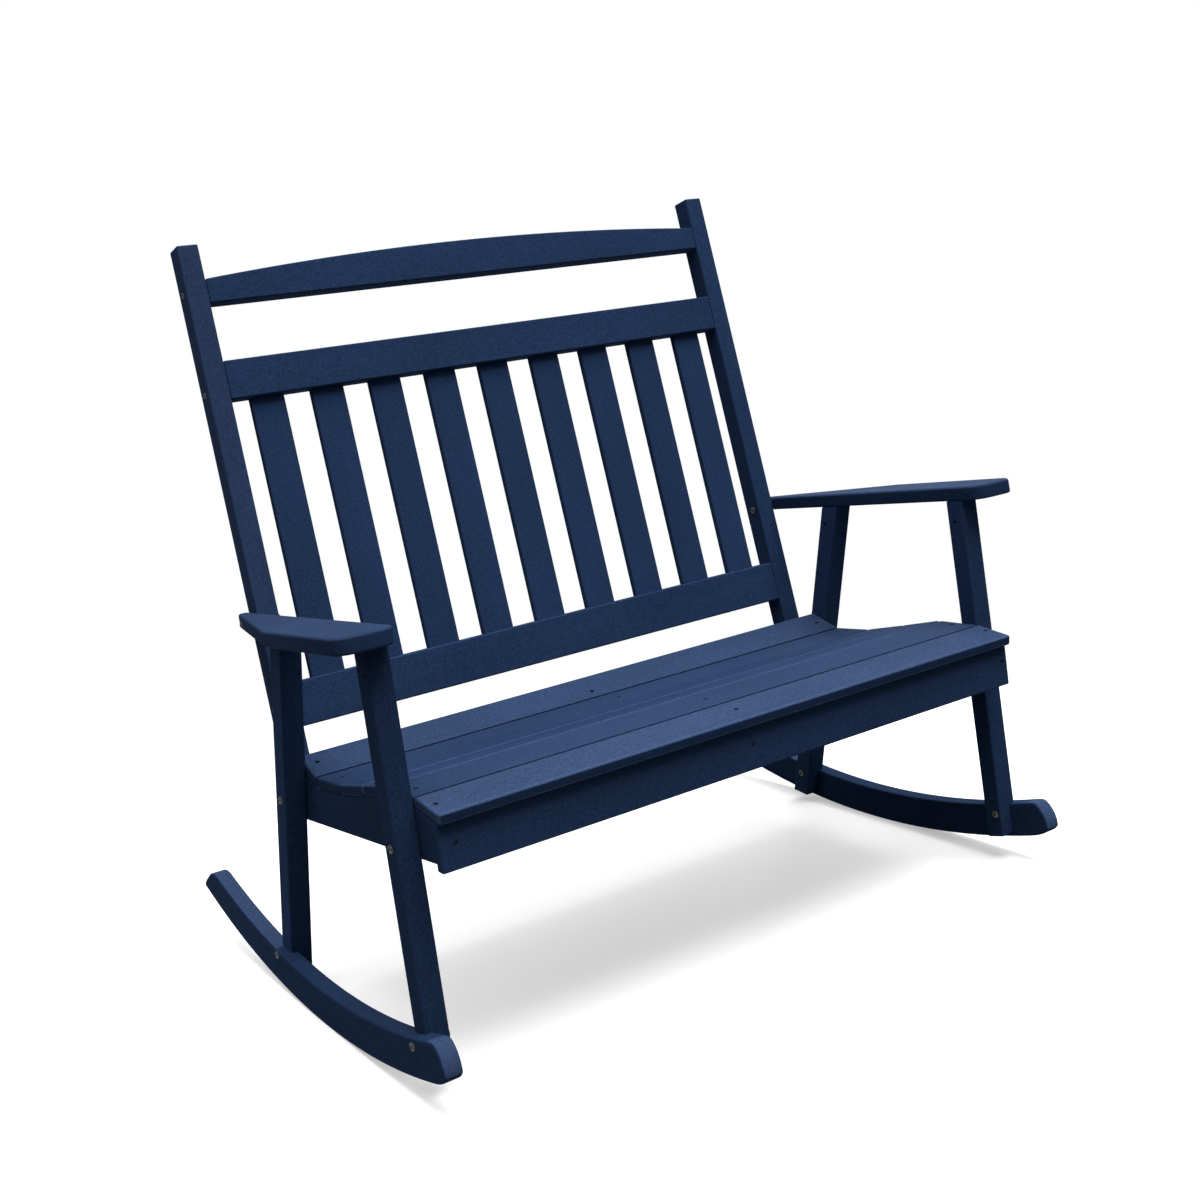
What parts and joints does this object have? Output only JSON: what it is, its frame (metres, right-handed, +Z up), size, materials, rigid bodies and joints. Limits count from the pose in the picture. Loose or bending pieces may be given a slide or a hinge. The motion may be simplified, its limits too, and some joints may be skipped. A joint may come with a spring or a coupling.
{
  "type": "rocking bench",
  "caption": "Double porch rocking bench with a slatted high back, a contoured board seat, flat arms and curved rockers.",
  "frame": {"origin": "on the floor plane, at the middle of the bench's bounding box seen from above", "axes": "+Z up, +X across the bench to the sitter's left, so to the viewer's right from the front, and the sitter faces -Y"},
  "size_m": [1.2326, 0.9784, 1.2194],
  "materials": {
    "board": "navy poly lumber, satin, with a fine embossed grain",
    "bolt": "bronze-toned, satin"
  },
  "bodies": {
    "root": {"stile_left": "board", "stile_right": "board", "lower_rail": "board", "upper_rail": "board", "top_rail": "board", "apron": "board", "arm_bolt_left": "bolt", "arm_bolt_right": "bolt", "arm_left": "board", "arm_right": "board", "back_slat_1": "board", "back_slat_2": "board", "back_slat_3": "board", "back_slat_4": "board", "back_slat_5": "board", "back_slat_6": "board", "back_slat_7": "board", "back_slat_8": "board", "back_slat_9": "board", "front_leg_left": "board", "front_leg_right": "board", "leg_bolt_front_left": "bolt", "leg_bolt_front_right": "bolt", "leg_bolt_rear_left": "bolt", "leg_bolt_rear_right": "bolt", "rail_screw_lower_left": "bolt", "rail_screw_lower_right": "bolt", "rail_screw_top_left": "bolt", "rail_screw_top_right": "bolt", "rail_screw_upper_left": "bolt", "rail_screw_upper_right": "bolt", "rear_leg_left": "board", "rear_leg_right": "board", "rocker_bolt_front_left": "bolt", "rocker_bolt_front_right": "bolt", "rocker_bolt_rear_left": "bolt", "rocker_bolt_rear_right": "bolt", "rocker_left": "board", "rocker_right": "board", "seat_board_1": "board", "seat_board_2": "board", "seat_board_3": "board", "seat_board_4": "board", "seat_board_5": "board", "seat_board_6": "board", "seat_middle_support": "board", "seat_rear_rail": "board", "side_board_left": "board", "side_board_right": "board"}
  },
  "joints": []
}
